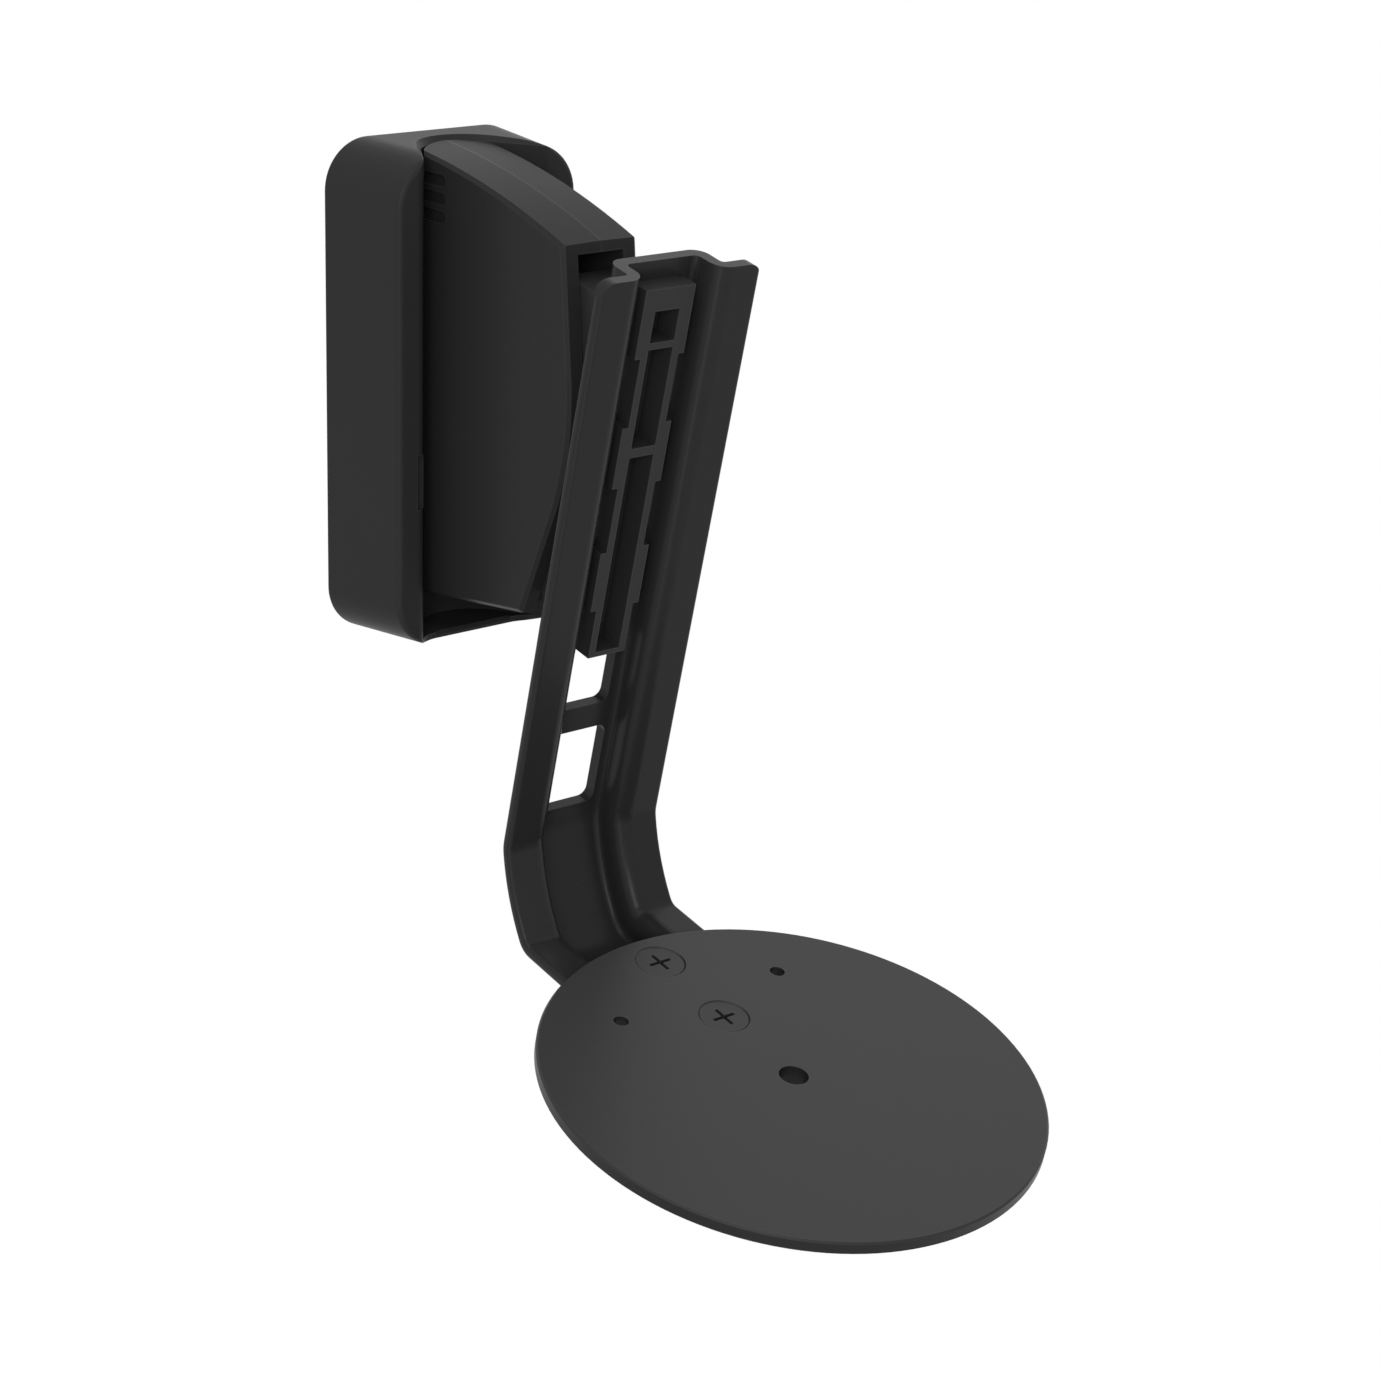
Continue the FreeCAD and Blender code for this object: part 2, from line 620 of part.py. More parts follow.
def housing_half(name, side):
    """One moulded half of the swivel body; side is -1 on the left and 1 on the right."""
    body = new_body(name)
    back = "-(swivel_depth - body_back_radius)"
    outline = new_sketch(body, "YZ_Plane")
    trace(outline, [
        (back, "-body_bottom_back"),
        (back, "body_top_back", "body_top_curve", 1),
        ("-body_front_top", "body_top_front"),
        ("-body_belly_upper_depth", "body_belly_upper", "body_belly_curve", 1),
        ("-body_belly_lower_depth", "-body_belly_lower"),
        ("-body_front_bottom", "-body_bottom_front"),
    ])
    shell = pad(body, outline, "body_width / 2", backward=side < 0, taper="-body_draft")
    bevel(body, "Chamfer", shell, "body_bevel", lies_at("X", side * measure("body_width / 2")))
    # the back is round about the swivel axis
    rear = new_sketch(body, "XY_Plane", "-cover_wall_height")
    flank = "swivel_depth - sqrt(body_back_radius ^ 2 - (body_width / 2) ^ 2)"
    corners = [
        (f"{side} * 0", back, "body_back_radius", -side),
        (f"{side} * body_width / 2", f"-({flank})"),
        (f"{side} * body_width", f"-({flank})"),
        (f"{side} * body_width", "swivel_depth"),
        (f"{side} * 0", "swivel_depth"),
    ]
    trace(rear, corners)
    pocket(body, rear, "2 * cover_wall_height", backward=True)
    # rooms for the lugs: a round one for the eye and a fan for the neck on its swing
    gap = "running_gap"
    near = f"((lug_neck / 2 + {gap}) / cos(swivel_swing))"
    far = f"({near} + (body_back_radius + cut_margin) * tan(swivel_swing))"
    rear_end = "-swivel_depth + body_back_radius + cut_margin"
    rise = f"lug_thickness + bush_flange + 2 * {gap}"
    for low in (f"lug_level - {gap}", f"-(lug_level + lug_thickness + bush_flange + {gap})"):
        eye = new_sketch(body, "XY_Plane", low)
        rings(eye, [("0", "-swivel_depth", f"lug_radius + 2 * {gap}")])
        pocket(body, eye, rise, backward=True)
        fan = new_sketch(body, "XY_Plane", low)
        trace(fan, [
            (f"-{near}", "-swivel_depth"),
            (near, "-swivel_depth"),
            (far, rear_end),
            (f"-{far}", rear_end),
        ])
        pocket(body, fan, rise, backward=True)
    # the bolt's bore with a pocket for its head and one for its nut
    bore = new_sketch(body, "XY_Plane", "-nut_ceiling")
    rings(bore, [("0", "-swivel_depth", "bolt_diameter / 2 + running_gap")])
    pocket(body, bore, "nut_ceiling + head_floor", backward=True)
    head = new_sketch(body, "XY_Plane", "head_floor")
    rings(head, [("0", "-swivel_depth", "pocket_diameter / 2")])
    pocket(body, head, "washer_thickness + bolt_head_height + pocket_end_gap", backward=True)
    nut = new_sketch(body, "XY_Plane", "-nut_ceiling")
    rings(nut, [("0", "-swivel_depth", "pocket_diameter / 2")])
    pocket(body, nut, "2 * spring_thickness + washer_thickness + nut_height + pocket_end_gap")
    # the channel in which the tilt carrier swings, open at the front
    hub = "hub_radius + hub_clearance"
    channel = new_sketch(body, "YZ_Plane")
    trace(channel, [
        ("-2 * tilt_depth", "-cover_wall_height / 2"),
        ("-channel_floor_edge", "-cover_wall_height / 2"),
        ("-channel_floor_edge", "-channel_floor"),
        (f"-tilt_depth + ({hub}) * cos(hub_wrap)", f"-({hub}) * sin(hub_wrap)", hub, 1),
        (f"-tilt_depth + ({hub}) * cos(hub_wrap)", f"({hub}) * sin(hub_wrap)"),
        ("-channel_shoulder", "channel_top"),
        ("-2 * tilt_depth", "channel_top"),
    ])
    pocket(body, channel, "channel_width", symmetric=True)
    socket = new_sketch(body, "YZ_Plane")
    rings(socket, [("-tilt_depth", "0", "pin_diameter / 2 + fit_gap")])
    pocket(body, socket, "channel_width + 2 * socket_depth", symmetric=True)
    # screw holes from the right half into the left one
    holes = new_sketch(body, "YZ_Plane")
    rings(holes, [(y, z, "housing_screw_diameter / 2 + fit_gap") for y, z in HOUSING_SCREW_PLACES])
    pocket(body, holes, "2 * housing_screw_reach" if side < 0 else "2 * body_width", symmetric=True)
    if side > 0:
        sinks = new_sketch(body, "YZ_Plane", "body_width / 2 - housing_screw_sink")
        rings(sinks, [(y, z, "housing_screw_head / 2 + fit_gap") for y, z in HOUSING_SCREW_PLACES])
        pocket(body, sinks, "body_width", backward=True)
    else:
        # three shallow finger grooves near the top of the back, on the left
        for step in range(3):
            level = f"(scallop_level - {step} * scallop_pitch)"
            half = "scallop_height / 2"
            groove = new_sketch(body, "YZ_Plane", "-body_width / 2 - cut_margin")
            trace(groove, [
                ("0", f"{level} + {half}"),
                (f"-(scallop_front - {half})", f"{level} + {half}", half, 1),
                ("-scallop_front", level, half, 1),
                (f"-(scallop_front - {half})", f"{level} - {half}"),
                ("0", f"{level} - {half}"),
            ])
            pocket(body, groove, "scallop_depth + cut_margin", backward=True)
    return body


def housing_screws():
    """Pan-head screws that hold the two halves together, from the hidden right side."""
    body = new_body("housing_screws")
    seat = "body_width / 2 - housing_screw_sink"
    heads = new_sketch(body, "YZ_Plane", seat)
    rings(heads, [(y, z, "housing_screw_head / 2") for y, z in HOUSING_SCREW_PLACES])
    pad(body, heads, "housing_screw_sink - housing_screw_recess")
    shanks = new_sketch(body, "YZ_Plane", seat)
    rings(shanks, [(y, z, "housing_screw_diameter / 2") for y, z in HOUSING_SCREW_PLACES])
    pad(body, shanks, f"{seat} + housing_screw_reach - running_gap", backward=True)


def tilt_pin():
    """The tilt axle, held at both ends in blind sockets of the housing."""
    body = new_body("tilt_pin")
    sketch = new_sketch(body, "YZ_Plane")
    rings(sketch, [("-tilt_depth", "0", "pin_diameter / 2")])
    pad(body, sketch, "channel_width + 2 * socket_depth - 2 * running_gap", symmetric=True)


def tilt_rings(name, inner, outer, near, thickness):
    """A pair of rings about the tilt axis, one on each side of the carrier's hub."""
    body = new_body(name)
    for side in (-1, 1):
        sketch = new_sketch(body, "YZ_Plane", f"{side} * ({near})")
        rings(sketch, [("-tilt_depth", "0", outer), ("-tilt_depth", "0", inner)])
        pad(body, sketch, thickness, backward=side < 0)
    return body


def tilt_springs():
    """Thin spring washers against the channel's walls."""
    bore = "pin_diameter / 2 + loose_gap"
    near = "channel_width / 2 - washer_spring"
    tilt_rings("tilt_springs", bore, "spring_outer / 2", near, "washer_spring")


def tilt_friction_discs():
    """Friction discs that turn with the carrier's hub."""
    bore = "pin_diameter / 2 + fit_gap"
    tilt(tilt_rings("tilt_friction_discs", bore, "disc_outer / 2", "hub_width / 2", "disc_thickness"))


def tilt_carrier():
    """The moulded block that turns on the tilt pin and hooks into the arm."""
    body = new_body("tilt_carrier")
    back = "-(tilt_depth + arm_back_reach)"
    hub = new_sketch(body, "YZ_Plane")
    rings(hub, [("-tilt_depth", "0", "hub_radius")])
    pad(body, hub, "hub_width", symmetric=True)
    block_rear = "-(tilt_depth + block_back)"
    gusset = new_sketch(body, "YZ_Plane")
    trace(gusset, [
        ("-tilt_depth", "-(hub_radius - merge)"),
        ("-tilt_depth", "hub_radius - merge"),
        (f"{block_rear} - merge", "gusset_top"),
        (f"{block_rear} - merge", "-gusset_bottom"),
    ])
    pad(body, gusset, "hub_width", symmetric=True)
    block = new_sketch(body, "YZ_Plane")
    trace(block, [
        (block_rear, "-block_heel"),
        (block_rear, "block_top"),
        (back, "block_top"),
        (back, "-ladder_bottom"),
        (f"{back} + block_foot", "-ladder_bottom"),
    ])
    pad(body, block, "block_width", symmetric=True)
    face = "-(tilt_depth + ladder_face)"
    neck = new_sketch(body, "YZ_Plane")
    trace(neck, box_corners(face, back, "-ladder_bottom", "ladder_top"))
    pad(body, neck, "neck_width", symmetric=True)
    tab_back = f"{back} - arm_wall - running_gap"
    for low, high in (
        ("tab_first", "ladder_top"),
        ("tab_second_bottom", "tab_second_top"),
        ("-tab_third_bottom", "-tab_third_top"),
    ):
        tab = new_sketch(body, "YZ_Plane")
        trace(tab, box_corners(face, tab_back, low, high))
        pad(body, tab, "tab_width", symmetric=True)
    half = "ladder_window_width / 2"
    for low, high in (
        ("ladder_window_first_bottom", "ladder_window_first_top"),
        ("ladder_window_second_bottom", "ladder_window_second_top"),
        ("-ladder_window_third_bottom", "ladder_window_third_top"),
    ):
        window = new_sketch(body, "XZ_Plane", "tilt_depth + ladder_face")
        trace(window, box_corners(f"-{half}", half, low, high))
        pocket(body, window, "ladder_window_depth")
    bore = new_sketch(body, "YZ_Plane")
    rings(bore, [("-tilt_depth", "0", "pin_diameter / 2 + fit_gap")])
    pocket(body, bore, "2 * hub_width", symmetric=True)
    return tilt(body)


def arm_section(sketch):
    """The arm's section: a channel with two flanges, seen from above."""
    front = f"-{ARM_FRONT}"
    inner = "arm_inner_width / 2"
    outer = "(arm_inner_width / 2 + arm_wall)"
    edge = "arm_width / 2"
    e, c, r, b, h = "flange_edge", "crest_radius", "root_radius", "back_radius", "heel_radius"
    web_front = f"{front} + arm_step"
    web_back = f"{front} + arm_step + arm_wall"
    heel = f"{front} + arm_wall"
    right = [
        (f"{inner} - {r}", web_front, r, -1),
        (inner, f"{web_front} - {r}"),
        (inner, f"{front} + {c}", c, 1),
        (f"{inner} + {c}", front),
        (f"{edge} - {e}", front, e, 1),
        (edge, f"{front} + {e}"),
        (edge, f"{heel} - {e}", e, 1),
        (f"{edge} - {e}", heel),
        (f"{outer} + {h}", heel, h, -1),
        (outer, f"{heel} + {h}"),
        (outer, f"{web_back} - {b}", b, 1),
        (f"{outer} - {b}", web_back),
    ]
    left = []
    for number, corner in enumerate(reversed(right)):
        arc = right[len(right) - 2 - number][2:] if number < len(right) - 1 else ()
        left.append((f"-({corner[0]})", corner[1], *arc))
    trace(sketch, right + left)


def arm_path(sketch):
    """The front of the arm, seen from the side: straight down, round the bends and under the plate."""
    y0 = f"-{ARM_FRONT}"
    first, second = "bend_first_angle", "bend_second_angle"
    a, b, c = "bend_first_radius", "bend_long_radius", "bend_last_radius"
    rise_c = f"{c} * (1 - sin({second}))"
    rise_b = f"{b} * (sin({second}) - sin({first}))"
    rise_a = f"{a} * sin({first})"
    low = f"-{FOOT_TOP}"
    y1 = f"{y0} - {a} * (1 - cos({first}))"
    y2 = f"{y1} - {b} * (cos({first}) - cos({second}))"
    y3 = f"{y2} - {c} * cos({second})"
    trace(sketch, [
        (y0, "arm_top"),
        (y0, f"{low} + {rise_c} + {rise_b} + {rise_a}", a, -1),
        (y1, f"{low} + {rise_c} + {rise_b}", b, -1),
        (y2, f"{low} + {rise_c}", c, -1),
        (y3, low),
        ("-(tilt_depth + foot_end)", low),
    ], closed=False)


def arm():
    """The cast arm: one channel from top to foot, with the slot for the hooks and a window below it."""
    body = new_body("arm")
    section = new_sketch(body, "XY_Plane", "arm_top")
    arm_section(section)
    path = new_sketch(body, "YZ_Plane")
    arm_path(path)
    doc.recompute()
    channel = body.newObject("PartDesign::AdditivePipe", "arm_pipe")
    channel.Profile = section
    channel.Spine = (path, [f"Edge{number}" for number in range(1, 6)])
    doc.recompute()
    # bosses under the plate for the threaded inserts
    web_low = f"-({FOOT_TOP} + arm_step + arm_wall / 2)"
    bosses = new_sketch(body, "XY_Plane", web_low)
    rings(bosses, [(x, y, "boss_diameter / 2") for x, y in SCREW_PLACES])
    pad(body, bosses, "arm_step + arm_wall / 2")
    seats = new_sketch(body, "XY_Plane", f"-{FOOT_TOP}")
    rings(seats, [(x, y, "insert_diameter / 2 + fit_gap") for x, y in SCREW_PLACES])
    pocket(body, seats, "insert_length + running_gap")
    through = new_sketch(body, "XY_Plane", f"-{FOOT_TOP}")
    rings(through, [(x, y, "screw_diameter / 2 + running_gap") for x, y in SCREW_PLACES])
    pocket(body, through, "2 * arm_step")
    # the slot: a narrow neck with three wide bays through which the tabs pass
    narrow, bay, low = "slot_width / 2", "slot_bay_width / 2", "slot_foot_width / 2"
    steps = [
        (low, "-slot_bottom + window_corner"),
        (low, "-tab_third_bottom"),
        (narrow, "-tab_third_bottom"),
        (narrow, "-tab_third_top"),
        (bay, "-tab_third_top"),
        (bay, "tab_second_bottom"),
        (narrow, "tab_second_bottom"),
        (narrow, "tab_second_top"),
        (bay, "tab_second_top"),
        (bay, "tab_first"),
        (narrow, "tab_first"),
        (narrow, "ladder_top"),
    ]
    foot = [(f"{low} - window_corner", "-slot_bottom", "window_corner", 1)]
    mirrored = [(f"-({x})", z) for x, z in reversed(steps)]
    mirrored[-1] = (*mirrored[-1], "window_corner", 1)
    slot = new_sketch(body, "XZ_Plane", f"{ARM_FRONT}")
    trace(slot, foot + steps + mirrored + [(f"-({low} - window_corner)", "-slot_bottom")])
    pocket(body, slot, "2 * arm_step")
    # the lower window
    window = new_sketch(body, "XZ_Plane", f"{ARM_FRONT}")
    middle = "(window_top + window_bottom) / 2"
    corners = rounded_corners("window_width / 2", "(window_bottom - window_top) / 2", "window_corner")
    trace(window, [(corner[0], f"{corner[1]} - {middle}", *corner[2:]) for corner in corners])
    pocket(body, window, "2 * arm_step")
    # rounded outer corners at the top
    for side in (-1, 1):
        corner = new_sketch(body, "XZ_Plane", f"{ARM_FRONT} + cut_margin")
        trace(corner, [
            (f"{side} * arm_width / 2", "arm_top - arm_corner", "arm_corner", side),
            (f"{side} * (arm_width / 2 - arm_corner)", "arm_top"),
            (f"{side} * (arm_width / 2 - arm_corner)", "arm_top + cut_margin"),
            (f"{side} * (arm_width / 2 + cut_margin)", "arm_top + cut_margin"),
            (f"{side} * (arm_width / 2 + cut_margin)", "arm_top - arm_corner"),
        ])
        pocket(body, corner, "2 * arm_step")
    # the foot narrows to clear the two small holes of the plate
    for side in (-1, 1):
        flank = new_sketch(body, "XY_Plane", f"-({FOOT_TOP} - cut_margin)")
        trace(flank, [
            (f"{side} * (arm_width / 2 + cut_margin)", "-(tilt_depth + foot_taper_start)"),
            (f"{side} * foot_tip_width / 2", "-(tilt_depth + foot_taper_start + foot_taper_run)"),
            (f"{side} * foot_tip_width / 2", "-(tilt_depth + foot_end + cut_margin)"),
            (f"{side} * (arm_width / 2 + cut_margin)", "-(tilt_depth + foot_end + cut_margin)"),
        ])
        pocket(body, flank, "2 * arm_step + 2 * arm_wall")
    return tilt(body)


def speaker_plate():
    """The round plate on which the speaker stands."""
    body = new_body("speaker_plate")
    blank = new_sketch(body, "XY_Plane", f"-{FOOT_TOP}")
    rings(blank, [("0", f"-{DISC_CENTRE}", "disc_diameter / 2")])
    plate = pad(body, blank, "disc_plate")
    rim = measure("disc_diameter")
    bevel(body, "Chamfer", plate, "disc_edge", lambda edge: edge.BoundBox.XLength > rim / 2)
    boss = new_sketch(body, "XY_Plane", f"-{FOOT_TOP}")
    rings(boss, [("0", f"-{DISC_CENTRE}", "centre_boss / 2")])
    pad(body, boss, "centre_boss_height", backward=True)
    bore = new_sketch(body, "XY_Plane", "-disc_drop")
    rings(bore, [("0", f"-{DISC_CENTRE}", "centre_hole / 2")])
    pocket(body, bore, "disc_plate + centre_boss_height")
    holes = new_sketch(body, "XY_Plane", "-disc_drop")
    side, back = "small_hole_side", f"-({DISC_CENTRE} - small_hole_back)"
    circles = [(x, back, "small_hole / 2") for x in (side, f"-{side}")]
    circles += [(x, y, "screw_diameter / 2 + fit_gap") for x, y in SCREW_PLACES]
    rings(holes, circles)
    pocket(body, holes, "disc_plate")
    sinks = new_sketch(body, "XY_Plane", "-disc_drop")
    rings(sinks, [(x, y, "countersink / 2") for x, y in SCREW_PLACES])
    pocket(body, sinks, "(countersink - screw_diameter) / 2 - fit_gap", taper="-45")
    return tilt(body)


def plate_screws():
    """Two countersunk screws with cross recesses."""
    body = new_body("plate_screws")
    cone = "(screw_head - screw_diameter) / 2"
    top = "-(disc_drop + screw_sink)"
    heads = new_sketch(body, "XY_Plane", top)
    rings(heads, [(x, y, "screw_head / 2") for x, y in SCREW_PLACES])
    pad(body, heads, cone, backward=True, taper="-45")
    shanks = new_sketch(body, "XY_Plane", f"{top} - {cone}")
    rings(shanks, [(x, y, "screw_diameter / 2") for x, y in SCREW_PLACES])
    pad(body, shanks, f"screw_length - {cone}", backward=True)
    n, s = "recess_width / 2", "recess_span / 2"
    for _, y in SCREW_PLACES:
        recess = new_sketch(body, "XY_Plane", top)
        trace(recess, [
            (s, f"{y} - {n}"),
            (s, f"{y} + {n}"),
            (n, f"{y} + {n}"),
            (n, f"{y} + {s}"),
            (f"-{n}", f"{y} + {s}"),
            (f"-{n}", f"{y} + {n}"),
            (f"-{s}", f"{y} + {n}"),
            (f"-{s}", f"{y} - {n}"),
            (f"-{n}", f"{y} - {n}"),
            (f"-{n}", f"{y} - {s}"),
            (n, f"{y} - {s}"),
            (n, f"{y} - {n}"),
        ])
        pocket(body, recess, "recess_depth")
    return tilt(body)


def plate_inserts():
    """Threaded inserts in the arm's bosses."""
    body = new_body("plate_inserts")
    sketch = new_sketch(body, "XY_Plane", f"-{FOOT_TOP}")
    circles = [(x, y, "insert_diameter / 2") for x, y in SCREW_PLACES]
    circles += [(x, y, "screw_diameter / 2 + fit_gap") for x, y in SCREW_PLACES]
    rings(sketch, circles)
    pad(body, sketch, "insert_length", backward=True)
    return tilt(body)


wall_plate()
wall_cover()
swivel_bushes()
swivel_bolt()
swivel_nut()
swivel_rings()
housing_half("housing_left", -1)
housing_half("housing_right", 1)
housing_screws()
tilt_pin()
tilt_springs()
tilt_friction_discs()
tilt_carrier()
arm()
speaker_plate()
plate_screws()
plate_inserts()
doc.recompute()

for item in doc.Objects:
    if "Invalid" in item.State or "Error" in item.State:
        raise ValueError(f"{item.Label} could not be built: {item.State}")

os.makedirs("parts", exist_ok=True)
for item in doc.Objects:
    if item.TypeId != "PartDesign::Body":
        continue
    if item.Shape.isNull() or not item.Shape.isValid():
        raise ValueError(f"{item.Label} has no valid shape")
    item.Shape.exportStep(f"parts/{item.Label}.step")
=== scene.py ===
import json
import math

import bmesh
import bpy
from mathutils import Euler, Matrix, Vector

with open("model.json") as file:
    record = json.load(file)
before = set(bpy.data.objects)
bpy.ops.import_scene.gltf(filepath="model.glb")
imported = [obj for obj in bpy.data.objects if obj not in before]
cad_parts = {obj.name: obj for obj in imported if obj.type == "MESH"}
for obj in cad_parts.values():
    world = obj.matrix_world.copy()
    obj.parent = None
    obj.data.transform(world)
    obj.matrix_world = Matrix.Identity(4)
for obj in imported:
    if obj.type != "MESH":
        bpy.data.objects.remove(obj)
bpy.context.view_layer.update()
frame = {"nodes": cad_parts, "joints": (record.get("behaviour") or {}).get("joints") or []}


# The view
# The camera stands in front of the bracket, to its left and above it.
# Its long lens keeps the upright edges nearly parallel.
camera_place = Vector((-0.4155, -0.5892, 0.1721))
camera_pitch = math.radians(71.093)
camera_roll = math.radians(-1.599)
camera_heading = math.radians(-39.632)

camera = bpy.data.objects.new("camera", bpy.data.cameras.new("camera"))
bpy.context.scene.collection.objects.link(camera)
bpy.context.scene.camera = camera
camera.data.sensor_width = 36.0
camera.data.lens = 83.72
camera.data.clip_start = 0.01
camera_turn = Euler((camera_pitch, camera_roll, camera_heading)).to_matrix()
camera.matrix_world = Matrix.Translation(camera_place) @ camera_turn.to_4x4()


# The floor
# A plain pale sheet far below the bracket, which hangs on its wall. Where
# the camera or a mirror looks, it is as white as the surroundings.
floor_level = -0.75
floor_reach = 6.0
paper_colour = (0.86, 0.86, 0.86, 1.0)
white = (1.0, 1.0, 1.0, 1.0)
white_strength = 1.0


class Wire:
    """A value in a material. Sums and products of it become Math nodes."""

    def __init__(self, socket):
        self.socket = socket

    def node(self, kind, settings=None, inputs=None, output=0):
        """A node in the same material, and the wire of one of its outputs."""
        tree = self.socket.id_data
        made = tree.nodes.new(kind)
        for name, value in (settings or {}).items():
            setattr(made, name, value)
        for name, value in (inputs or {}).items():
            if isinstance(value, Wire):
                tree.links.new(value.socket, made.inputs[name])
            else:
                made.inputs[name].default_value = value
        return Wire(made.outputs[output])

    def maths(self, operation, first, second):
        return self.node("ShaderNodeMath", {"operation": operation}, {0: first, 1: second})

    def __add__(self, other):
        return self.maths("ADD", self, other)

    def __radd__(self, other):
        return self.maths("ADD", other, self)

    def __sub__(self, other):
        return self.maths("SUBTRACT", self, other)

    def __rsub__(self, other):
        return self.maths("SUBTRACT", other, self)

    def __mul__(self, other):
        return self.maths("MULTIPLY", self, other)

    def __rmul__(self, other):
        return self.maths("MULTIPLY", other, self)


def new_material(name):
    """An empty material and the wire of its object coordinates."""
    material = bpy.data.materials.new(name)
    material.use_nodes = True
    tree = material.node_tree
    tree.nodes.clear()
    place = Wire(tree.nodes.new("ShaderNodeTexCoord").outputs["Object"])
    return material, place


def show(material, surface):
    """Ends a material with the given shader."""
    end = material.node_tree.nodes.new("ShaderNodeOutputMaterial")
    material.node_tree.links.new(surface.socket, end.inputs["Surface"])
    return material


def white_to_the_eye(tree_wire, plain, shining):
    """The shining shader for camera, mirror and glass rays, and the plain one for the others."""
    eye = tree_wire.node("ShaderNodeLightPath", output="Is Camera Ray")
    mirror = Wire(eye.socket.node.outputs["Is Glossy Ray"])
    glass = Wire(eye.socket.node.outputs["Is Transmission Ray"])
    seen = eye.maths("MAXIMUM", eye.maths("MAXIMUM", eye, mirror), glass)
    return tree_wire.node("ShaderNodeMixShader", None, {0: seen, 1: plain, 2: shining})


floor_mesh = bpy.data.meshes.new("floor")
floor_shape = bmesh.new()
bmesh.ops.create_grid(floor_shape, x_segments=1, y_segments=1, size=floor_reach)
bmesh.ops.translate(floor_shape, verts=floor_shape.verts, vec=(0.0, 0.0, floor_level))
floor_shape.to_mesh(floor_mesh)
floor_shape.free()
floor = bpy.data.objects.new("floor", floor_mesh)
bpy.context.scene.collection.objects.link(floor)
floor_paper, floor_place = new_material("floor_paper")
paper = floor_place.node("ShaderNodeBsdfDiffuse", None, {"Color": paper_colour})
glow = floor_place.node("ShaderNodeEmission", None, {"Color": white, "Strength": white_strength})
floor_mesh.materials.append(show(floor_paper, white_to_the_eye(floor_place, paper, glow)))


# The surroundings
# White where the camera, a mirror or glass looks, and a softer grey as
# light on the bracket.
soft_strength = 0.36

world = bpy.data.worlds.new("surroundings")
bpy.context.scene.world = world
world.use_nodes = True
world.node_tree.nodes.clear()
world_end = world.node_tree.nodes.new("ShaderNodeOutputWorld")
sky = Wire(world_end.inputs["Surface"])
soft_sky = sky.node("ShaderNodeBackground", None, {"Color": white, "Strength": soft_strength})
white_sky = sky.node("ShaderNodeBackground", None, {"Color": white, "Strength": white_strength})
whole_sky = white_to_the_eye(sky, soft_sky, white_sky)
world.node_tree.links.new(whole_sky.socket, world_end.inputs["Surface"])


# The lamps
# Soft boxes: a wide one above and to the left, a low one in front on the
# left that draws the upright edges, one behind the camera that fills the
# recesses, and a weak one behind to the right.
lamp_target = Vector((0.0, -0.09, -0.03))


def soft_box(name, place, width, height, watts):
    """A soft lamp of the given size in metres, turned to the bracket's middle."""
    lamp = bpy.data.lights.new(name, "AREA")
    lamp.shape = "RECTANGLE"
    lamp.size = width
    lamp.size_y = height
    lamp.energy = watts
    holder = bpy.data.objects.new(name, lamp)
    holder.visible_camera = False
    bpy.context.scene.collection.objects.link(holder)
    aim = (lamp_target - Vector(place)).to_track_quat("-Z", "Y")
    holder.matrix_world = Matrix.Translation(place) @ aim.to_matrix().to_4x4()


soft_box("top_box", place=(-0.55, -0.25, 1.10), width=0.90, height=0.90, watts=4.0)
soft_box("edge_box", place=(-0.85, -0.80, -0.35), width=0.25, height=0.80, watts=1.5)
soft_box("fill_box", place=(-0.73, -0.96, 0.36), width=0.45, height=0.45, watts=4.0)
soft_box("rear_box", place=(0.75, 0.55, 0.85), width=0.80, height=0.80, watts=0.5)


# The wall cover
# A moulded shell of dark plastic with a fine matt grain, which clips over
# the wall plate. Handling has polished its edges a little, and a painted highlight lightens
# their colour.
cover_colour = (0.034, 0.034, 0.035)
grain_depth = 0.00006
wear_reach = 0.0006
flat_likeness = 0.999
edge_likeness = 0.86


def noise(place, scale, detail=2.0, roughness=0.5):
    """A cloudy pattern from 0 to 1, finer with a larger scale."""
    return place.node("ShaderNodeTexNoise", None, {
        "Vector": place, "Scale": scale, "Detail": detail, "Roughness": roughness,
    })


def layered(first, second, share):
    """Two patterns as one, with the given share of the first."""
    return first * share + second * (1.0 - share)


def drift(pattern, amount):
    """A pattern that wanders about zero by the given amount."""
    pattern_middle = 0.5
    return (pattern - pattern_middle) * amount


def likeness(first, second):
    """1 where two directions agree, and 0 where they are square to each other."""
    settings = {"operation": "DOT_PRODUCT"}
    return first.node("ShaderNodeVectorMath", settings, {0: first, 1: second}, "Value")


def worn_edge(place):
    """1 on an outer edge, fading to 0 over the reach of the wear."""
    rounded = place.node("ShaderNodeBevel", {"samples": 6}, {"Radius": wear_reach})
    flat = place.node("ShaderNodeNewGeometry", output="Normal")
    return place.node("ShaderNodeMapRange", {"clamp": True}, {
        "Value": likeness(rounded, flat),
        "From Min": flat_likeness, "From Max": edge_likeness, "To Min": 0.0, "To Max": 1.0,
    })


def shade(colour, share):
    """A darker or lighter shade of a colour."""
    return tuple(share * level for level in colour) + (1.0,)


def blend(share, first, second):
    """Two colours as one, with the given share of the second."""
    factor, first_colour, second_colour, mixed_colour = 0, 6, 7, 2
    inputs = {factor: share, first_colour: first, second_colour: second}
    return share.node("ShaderNodeMix", {"data_type": "RGBA"}, inputs, mixed_colour)


def relief(height, strength, depth):
    """The fine ups and downs of a surface, of the given depth in metres."""
    inputs = {"Strength": strength, "Distance": depth, "Height": height}
    return height.node("ShaderNodeBump", None, inputs)


def finish_node(node, material):
    """Puts a finish on one of the bracket's solids."""
    for slot in frame["nodes"][node].material_slots:
        slot.material = material


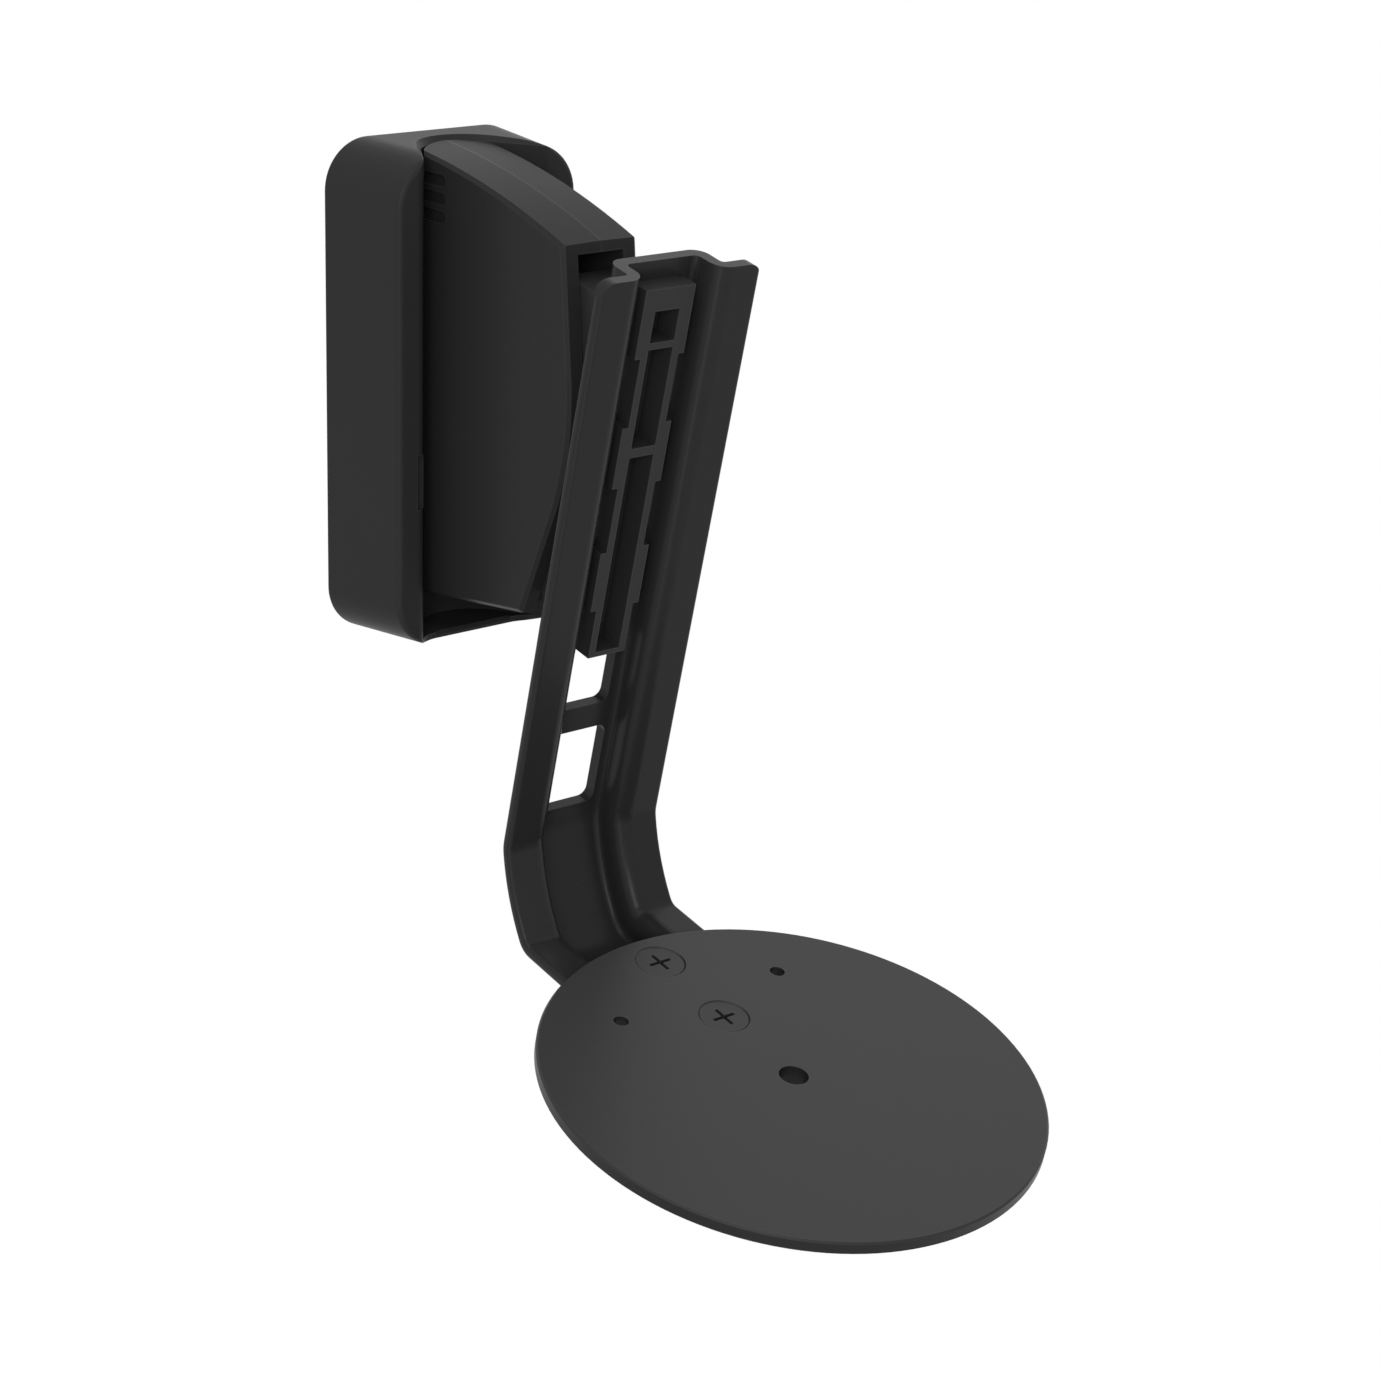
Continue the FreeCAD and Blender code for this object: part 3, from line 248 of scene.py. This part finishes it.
def moulded_plastic(name, colour, rough, grain=0.25, sheen_level=0.18):
    """Dark moulded plastic: an even colour, a fine grain, and polished edges with a painted
    highlight.
    """
    dark, light, painted_edge_highlight = shade(colour, 0.88), shade(colour, 1.12), shade(colour, 2.2)
    edge_highlight_share, polish_gloss, polish_coat = 0.4, 0.12, 0.08
    material, place = new_material(name)
    cloud = noise(place, scale=22.0, detail=3.0)
    fine = noise(place, scale=1700.0, roughness=0.6)
    pores = noise(place, scale=5200.0, detail=1.0)
    # The edge mask makes edges glossier from polish and lightens their colour as a painted
    # highlight.
    polish_and_highlight = worn_edge(place)
    tone = blend(layered(cloud, fine, share=0.7), dark, light)
    surface = place.node("ShaderNodeBsdfPrincipled", None, {
        "Base Color": blend(polish_and_highlight * edge_highlight_share, tone, painted_edge_highlight),
        "Roughness": rough + drift(cloud, amount=0.10) - polish_and_highlight * polish_gloss,
        "Specular IOR Level": sheen_level,
        "Coat Weight": polish_and_highlight * polish_coat,
        "Coat Roughness": 0.25,
        "Normal": relief(layered(fine, pores, share=0.7), grain, grain_depth),
    })
    return show(material, surface)


cover_grain = moulded_plastic("cover_grain", cover_colour, rough=0.36, sheen_level=0.05)
finish_node("wall_cover", cover_grain)


# The wall plate
# Bent and punched steel with a dark powder coat, screwed to the wall. The
# cover hides most of it, and its lugs reach into the joint housing.
plate_colour = (0.024, 0.024, 0.024)
peel_depth = 0.00008


def powder_coat(name, colour, rough, peel=0.30, sheen_level=0.18, face_normal=None):
    """Powder coat on metal: orange peel, fine speckle and rubbed edges.

    A flat piece, given its face normal, gets painted shade on its rim and in its bores.
    """
    dark, light, rubbed = shade(colour, 0.90), shade(colour, 1.10), shade(colour, 1.8)
    painted_rim_shade = shade(colour, 0.35)
    rub_colour = 0.5
    material, place = new_material(name)
    cloud = noise(place, scale=16.0, detail=3.0)
    peel_waves = noise(place, scale=620.0, detail=1.0)
    speckle = noise(place, scale=3800.0, roughness=0.7)
    tone = blend(layered(cloud, speckle, share=0.6), dark, light)
    tone = blend(worn_edge(place) * rub_colour, tone, rubbed)
    # Painted shade: the rim and bores, turned away from the face normal, are darkened in colour.
    if face_normal:
        facing = likeness(place.node("ShaderNodeTexCoord", output="Normal"), face_normal)
        tone = blend(facing * facing, painted_rim_shade, tone)
    surface = place.node("ShaderNodeBsdfPrincipled", None, {
        "Base Color": tone,
        "Roughness": rough + drift(cloud, amount=0.08) + drift(speckle, amount=0.06),
        "Specular IOR Level": sheen_level,
        "Normal": relief(layered(peel_waves, speckle, share=0.75), peel, peel_depth),
    })
    return show(material, surface)


finish_node("wall_plate", powder_coat("plate_coat", plate_colour, rough=0.55))


# The joint housing
# Two moulded halves of dark plastic, screwed together on the middle plane.
# They turn left and right about the bolt at their back.
housing_colour = (0.029, 0.029, 0.030)
housing_grain = moulded_plastic("housing_grain", housing_colour, rough=0.38, sheen_level=0.06)
for half in ("housing_left", "housing_right"):
    finish_node(half, housing_grain)


# The tilt carrier and its friction discs
# One moulding of tough plastic, with the hooks that hold the arm. The
# discs beside its hub are of the same plastic.
carrier_colour = (0.030, 0.030, 0.031)
carrier_grain = moulded_plastic("carrier_grain", carrier_colour, rough=0.45, grain=0.2)
for node in ("tilt_carrier", "tilt_friction_discs"):
    finish_node(node, carrier_grain)


# The arm
# A channel of cast metal with a matt powder coat, bent at the foot.
# It hangs on the carrier's hooks.
arm_colour = (0.027, 0.027, 0.028)
finish_node("arm", powder_coat("arm_coat", arm_colour, rough=0.26, sheen_level=0.10))


# The seat plate and its screws
# A round plate cut from sheet metal and powder coated, with painted shade
# on its cut rim and in its bores, darker than its faces, which are level at
# the lower end of the tilt. Two countersunk screws hold it on the arm's foot.
seat_colour = (0.042, 0.042, 0.043)
tilt_joint = next(joint for joint in frame["joints"] if joint["name"] == "tilt")
seat_lean = math.radians(-min(tilt_joint["range_deg"]))
seat_normal = (0.0, -math.sin(seat_lean), math.cos(seat_lean))
seat_coat = powder_coat(
    "seat_coat", seat_colour, rough=0.40, sheen_level=0.20, face_normal=seat_normal)
finish_node("speaker_plate", seat_coat)
screw_colour = (0.034, 0.034, 0.034)
screw_coat = powder_coat("screw_coat", screw_colour, rough=0.38, peel=0.1, sheen_level=0.20)
finish_node("plate_screws", screw_coat)


# Bolt, nut, pins, springs and housing screws
# Turned and bent steel, zinc plated, with fine marks and a slightly uneven
# plating. These hold the two joints and the housing's halves together.
zinc_colour = (0.60, 0.61, 0.63)
zinc_parts = (
    "swivel_bolt", "swivel_nut", "swivel_washers", "swivel_springs",
    "housing_screws", "tilt_pin", "tilt_springs",
)
mark_depth = 0.00003
mark_stretch = (1.0, 1.0, 14.0)


def turned_metal(name, colour, rough):
    """Bare or plated metal with fine marks and a cloudy finish."""
    dull, bright = shade(colour, 0.80), shade(colour, 1.05)
    material, place = new_material(name)
    stretched = place.node("ShaderNodeMapping", None, {"Vector": place, "Scale": mark_stretch})
    cloud = noise(place, scale=60.0, detail=3.0)
    marks = noise(stretched, scale=420.0)
    surface = place.node("ShaderNodeBsdfPrincipled", None, {
        "Base Color": blend(layered(cloud, marks, share=0.6), dull, bright),
        "Metallic": 1.0,
        "Roughness": rough + drift(cloud, amount=0.15) + drift(marks, amount=0.1),
        "Normal": relief(marks, strength=0.15, depth=mark_depth),
    })
    return show(material, surface)


zinc = turned_metal("zinc_plating", zinc_colour, rough=0.34)
for node in zinc_parts:
    finish_node(node, zinc)


# Bushes and inserts
# The two swivel bushes and the threaded inserts are turned brass. The
# bushes are pressed into the plate's lugs, the inserts into the arm's bosses.
brass_colour = (0.72, 0.52, 0.26)
brass = turned_metal("turned_brass", brass_colour, rough=0.30)
for node in ("swivel_bush_upper", "swivel_bush_lower", "plate_inserts"):
    finish_node(node, brass)


# The end
# The picture shows the colours as written, through the standard view transform.
bpy.context.scene.view_settings.view_transform = "Standard"
bpy.context.view_layer.update()
